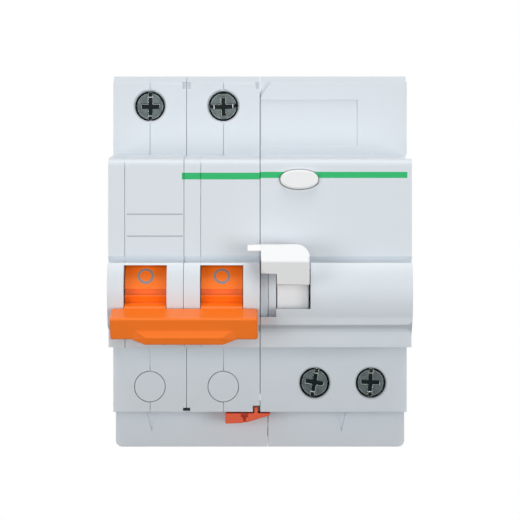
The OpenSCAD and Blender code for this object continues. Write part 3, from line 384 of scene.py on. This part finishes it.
# Whether both faces beside an edge are wide enough, probed at a few places along it
def hasRoom(edge, width):
    for loop in edge.link_loops:
        start = loop.vert.co
        along = loop.link_loop_next.vert.co - start
        length = along.length
        along.normalize()
        inward = loop.face.normal.cross(along)
        for other in loop.face.loops:
            touches = any(vert in other.edge.verts for vert in edge.verts)
            level = other.edge.calc_face_angle(0) < easeFrom["levelRadians"]
            if touches and level and other.edge.calc_length() > width:
                continue
            ends = [vert.co - start for vert in (other.vert, other.link_loop_next.vert)]
            (x0, y0), (x1, y1) = [(end.dot(along), end.dot(inward)) for end in ends]
            for probe in easeFrom["probes"]:
                at = probe * length
                if (x0 - at) * (x1 - at) < 0:
                    reach = y0 + (y1 - y0) * (at - x0) / (x1 - x0)
                    if mergeSet["closeMm"] * mm < reach < width:
                        return False
    return True


# Splits edges into runs that hang together, always in the mesh's own order
def splitRuns(edges):
    left = dict.fromkeys(edges)
    while left:
        first = next(iter(left))
        del left[first]
        run, fresh = [], [first]
        while fresh:
            edge = fresh.pop()
            run.append(edge)
            beside = [other for vert in edge.verts for other in vert.link_edges if other in left]
            for other in beside:
                left.pop(other, None)
            fresh += dict.fromkeys(beside)
        yield run


# Numbers the runs of wanted edges first, because every bevel renews the mesh
def roundEdges(piece, width, wanted, stepped):
    shape = bmesh.from_edit_mesh(piece.data)
    runOf = shape.edges.layers.int.get("run") or shape.edges.layers.int.new("run")
    for edge in shape.edges:
        edge[runOf] = 0
    room = easeFrom["room"] * width * mm
    chosen = [edge for edge in shape.edges
              if isSharp(edge) and wanted(edge) and hasRoom(edge, room)]
    runs = splitRuns(chosen) if stepped else [chosen]
    runs = [run for run in runs
            if sum(edge.calc_length() for edge in run) > easeFrom["runMm"] * mm]
    for number, run in enumerate(runs, 1):
        for edge in run:
            edge[runOf] = number
    bmesh.update_edit_mesh(piece.data)
    for number in range(1, len(runs) + 1):
        bpy.ops.mesh.select_all(action="DESELECT")
        shape = bmesh.from_edit_mesh(piece.data)
        runOf = shape.edges.layers.int["run"]
        for edge in shape.edges:
            if edge[runOf] == number:
                edge.select_set(True)
        bmesh.update_edit_mesh(piece.data)
        bpy.ops.mesh.bevel(offset=width * mm, segments=easeFrom["steps"], affect="EDGES",
                           clamp_overlap=stepped)
    return len(runs)


# Slivers of no width that the rounding left are dissolved, and a hole that one leaves is closed
def dropSlivers():
    bpy.ops.mesh.select_all(action="SELECT")
    bpy.ops.mesh.dissolve_degenerate(threshold=mergeSet["closeMm"] * mm)
    bpy.ops.mesh.select_all(action="SELECT")
    bpy.ops.mesh.fill_holes(sides=0)


# The shading of a large face stops at its edges, so that the rounding beside it does not bend
# its light
def keepFlats(piece):
    shape = bmesh.from_edit_mesh(piece.data)
    largeFrom = shadeSet["flatMm2"] * mm * mm
    turnFrom = math.radians(shadeSet["flatDegrees"])
    for edge in shape.edges:
        large = any(face.calc_area() > largeFrom for face in edge.link_faces)
        if large and edge.calc_face_angle(0) > turnFrom:
            edge.smooth = False
    bmesh.update_edit_mesh(piece.data)


# A piece shows in place of a node, on its body; its material slot is already set on its mesh
def standIn(piece, node):
    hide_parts(node)
    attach(piece, bodyOf[node])


def easedCopy(node, radius):
    piece = bpy.data.objects.new(node + "_eased", nodes[node].data.copy())
    bpy.context.scene.collection.objects.link(piece)
    takeAlone(piece)
    bpy.ops.object.mode_set(mode="EDIT")
    bpy.ops.mesh.select_mode(type="EDGE")
    bpy.ops.mesh.select_all(action="SELECT")
    bpy.ops.mesh.remove_doubles(threshold=mergeSet["closeMm"] * mm)
    bpy.ops.mesh.dissolve_limited(angle_limit=math.radians(mergeSet["degrees"]))
    stepped = node in steppedNodes
    counts = []
    if node == waveSet["node"]:
        counts.append(roundEdges(piece, waveSet["radiusMm"], inWave, False))
    for share in easeFrom["shares"]:
        counts.append(roundEdges(piece, share * radius, offJoint, stepped))
    counts.append(roundEdges(piece, jointSet["radiusMm"], byJoint, stepped))
    dropSlivers()
    keepFlats(piece)
    bpy.ops.object.mode_set(mode="OBJECT")
    bpy.ops.object.shade_smooth_by_angle(angle=math.radians(shadeSet["smoothDegrees"]))
    bpy.ops.object.modifier_add(type="WEIGHTED_NORMAL")
    shading = piece.modifiers[0]
    shading.keep_sharp = True
    shading.weight = shadeSet["areaWeight"]
    bpy.ops.object.modifier_apply(modifier=shading.name)
    standIn(piece, node)
    print("eased", node, "runs", counts, "faces", len(piece.data.polygons))


for node, radius in easeSet.items():
    easedCopy(node, radius)

# Wound wire: the button's spring, and the heavy windings of the two trip coils
springSet = {"wireMm": 0.55, "radiusMm": 1.97, "turns": 6, "stepsPerTurn": 28, "wireSides": 10,
             "smoothDegrees": 50}
coilSet = {"wireMm": 1.66, "radiusMm": 3.95, "turns": 9, "stepsPerTurn": 40, "wireSides": 12,
           "smoothDegrees": 50}


# A helix of wire that stands on the given point and fills the length, turned from +Z by the
# given angles
def woundWire(name, foot, turned, length, look):
    wire = look["wireMm"] * mm
    bpy.ops.object.select_all(action="DESELECT")
    bpy.ops.mesh.primitive_circle_add(vertices=look["wireSides"], radius=wire / 2,
                                      location=(look["radiusMm"] * mm, 0, wire / 2),
                                      rotation=(math.radians(90), 0, 0))
    piece = bpy.context.object
    piece.name = name
    bpy.ops.object.transform_apply()
    bpy.ops.object.modifier_add(type="SCREW")
    sweep = piece.modifiers[0]
    sweep.axis = "Z"
    sweep.iterations = look["turns"]
    sweep.steps = sweep.render_steps = look["stepsPerTurn"]
    sweep.screw_offset = (length - wire) / look["turns"]
    bpy.ops.object.modifier_apply(modifier=sweep.name)
    bpy.ops.object.mode_set(mode="EDIT")
    bpy.ops.mesh.select_all(action="SELECT")
    bpy.ops.mesh.fill_holes(sides=0)
    bpy.ops.mesh.select_all(action="SELECT")
    bpy.ops.mesh.normals_make_consistent(inside=False)
    bpy.ops.object.mode_set(mode="OBJECT")
    piece.rotation_euler = [math.radians(angle) for angle in turned]
    piece.location = foot
    bpy.ops.object.transform_apply()
    bpy.ops.object.shade_smooth_by_angle(angle=math.radians(look["smoothDegrees"]))
    return piece


def fitPiece(piece, node):
    piece.data.materials.clear()
    piece.data.materials.append(materials[slotOf[node]])
    standIn(piece, node)


springLow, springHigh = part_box("test_spring")
springSeat = Vector(((springLow[0] + springHigh[0]) / 2, springHigh[1],
                     (springLow[2] + springHigh[2]) / 2))
springLong = springHigh[1] - springLow[1]
spring = woundWire("button_spring", springSeat, (90, 0, 0), springLong, springSet)
fitPiece(spring, "test_spring")
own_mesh(spring)

coilLow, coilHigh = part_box("trip_coils")
coilSide = coilSet["radiusMm"] * mm + coilSet["wireMm"] / 2 * mm
coilDepth = (coilLow[1] + coilHigh[1]) / 2
coilLong = coilHigh[2] - coilLow[2]
coilFeet = [(across, coilDepth, coilLow[2])
            for across in (coilLow[0] + coilSide, coilHigh[0] - coilSide)]
windings = [woundWire("coil_windings", foot, (0, 0, 0), coilLong, coilSet) for foot in coilFeet]
takeAlone(windings[0])
windings[1].select_set(True)
bpy.ops.object.join()
fitPiece(windings[0], "trip_coils")
print("wire wound:", len(spring.data.polygons), len(windings[0].data.polygons))

# Camera at the photograph's place: level, straight on, with a long lens
cameraSet = {"distanceMm": 510, "heightMm": -1.77, "sensorMm": 36, "imagePx": 520, "focalPx": 1901}


def makeCamera():
    place = (0, -cameraSet["distanceMm"] * mm, cameraSet["heightMm"] * mm)
    bpy.ops.object.camera_add(location=place, rotation=(math.radians(90), 0, 0))
    camera = bpy.context.object
    camera.data.sensor_width = cameraSet["sensorMm"]
    camera.data.lens = cameraSet["sensorMm"] * cameraSet["focalPx"] / cameraSet["imagePx"]
    bpy.context.scene.camera = camera


# White surroundings, and a pale floor below the rail-held device that fades into them
studioSet = {"floorDropMm": 60, "floorMm": 600, "floorColour": "#f4f4f2",
             "floorBounce": "#7a7a78", "floorRough": 0.9, "fadeMm": (70, 240),
             "floorGlow": 0.45, "skyLight": 0.24}
# Soft square lamps that look at the origin, with place and size in metres
lampSet = [
    {"name": "topLamp", "place": (0.0, -0.28, 0.86), "size": 0.6, "watts": 4.3},
    {"name": "leftLamp", "place": (-0.6, -0.77, -0.08), "size": 0.5, "watts": 3.15},
    {"name": "rightLamp", "place": (0.6, -0.77, -0.08), "size": 0.5, "watts": 3.15},
    {"name": "frontLamp", "place": (0.0, -0.95, 0.1), "size": 0.3, "watts": 0.5},
    {"name": "backLamp", "place": (0.3, 0.85, 0.35), "size": 0.6, "watts": 3.0},
]


# 1 where the eye, a reflection or a view through glass meets the surface
def seenDirectly(tree):
    path = addNode(tree, "ShaderNodeLightPath")
    either = addNode(tree, "ShaderNodeMath", {
        0: path.outputs["Is Camera Ray"], 1: path.outputs["Is Glossy Ray"]}, operation="MAXIMUM")
    return addNode(tree, "ShaderNodeMath", {
        0: either.outputs[0], 1: path.outputs["Is Transmission Ray"]},
        operation="MAXIMUM").outputs[0]


def makeSky():
    world = bpy.data.worlds.new("studio")
    bpy.context.scene.world = world
    world.use_nodes = True
    tree = world.node_tree
    tree.nodes.clear()
    level = addNode(tree, "ShaderNodeMapRange", {
        "Value": seenDirectly(tree), "To Min": studioSet["skyLight"], "To Max": 1.0})
    sky = addNode(tree, "ShaderNodeBackground", {
        "Color": plainWhite, "Strength": level.outputs["Result"]})
    addNode(tree, "ShaderNodeOutputWorld", {"Surface": sky.outputs[0]})


# The floor keeps the shadow close by and turns to plain white further out
def makeFloor():
    bpy.ops.object.select_all(action="DESELECT")
    height = cadLow.z - studioSet["floorDropMm"] * mm
    bpy.ops.mesh.primitive_plane_add(size=studioSet["floorMm"] * mm, location=(0, 0, height))
    floor = bpy.context.object
    floor.name = "floor"
    material, tree, shader, place = startMaterial("paleFloor")
    seen = seenDirectly(tree)
    # pale to the eye, and dull to the light that it would throw back up under the device
    tint = addNode(tree, "ShaderNodeMix", {
        "Factor": seen, mixSockets["under"]: toLinear(studioSet["floorBounce"]),
        mixSockets["over"]: toLinear(studioSet["floorColour"])}, data_type="RGBA")
    tree.links.new(tint.outputs[mixSockets["result"]], shader.inputs["Base Color"])
    shader.inputs["Roughness"].default_value = studioSet["floorRough"]
    near, far = studioSet["fadeMm"]
    distance = addNode(tree, "ShaderNodeVectorMath", {0: place}, operation="LENGTH")
    fade = addNode(tree, "ShaderNodeMapRange", {
        "Value": distance.outputs["Value"], "From Min": near * mm, "From Max": far * mm,
        "To Min": studioSet["floorGlow"]}, interpolation_type="SMOOTHSTEP")
    share = addNode(tree, "ShaderNodeMath", {0: fade.outputs["Result"], 1: seen},
                    operation="MULTIPLY")
    glow = addNode(tree, "ShaderNodeEmission", {"Color": plainWhite, "Strength": 1.0})
    blend = addNode(tree, "ShaderNodeMixShader", {
        0: share.outputs[0], 1: shader.outputs["BSDF"], 2: glow.outputs["Emission"]})
    output = next(node for node in tree.nodes if node.bl_idname == "ShaderNodeOutputMaterial")
    tree.links.new(blend.outputs["Shader"], output.inputs["Surface"])
    floor.data.materials.append(material)


def makeLamps():
    for lamp in lampSet:
        bpy.ops.object.light_add(type="AREA", location=lamp["place"])
        light = bpy.context.object
        light.name = lamp["name"]
        light.data.size = lamp["size"]
        light.data.energy = lamp["watts"]
        light.rotation_euler = (-Vector(lamp["place"])).to_track_quat("-Z", "Y").to_euler()


makeCamera()
makeSky()
makeFloor()
makeLamps()
print("camera and lamps placed")
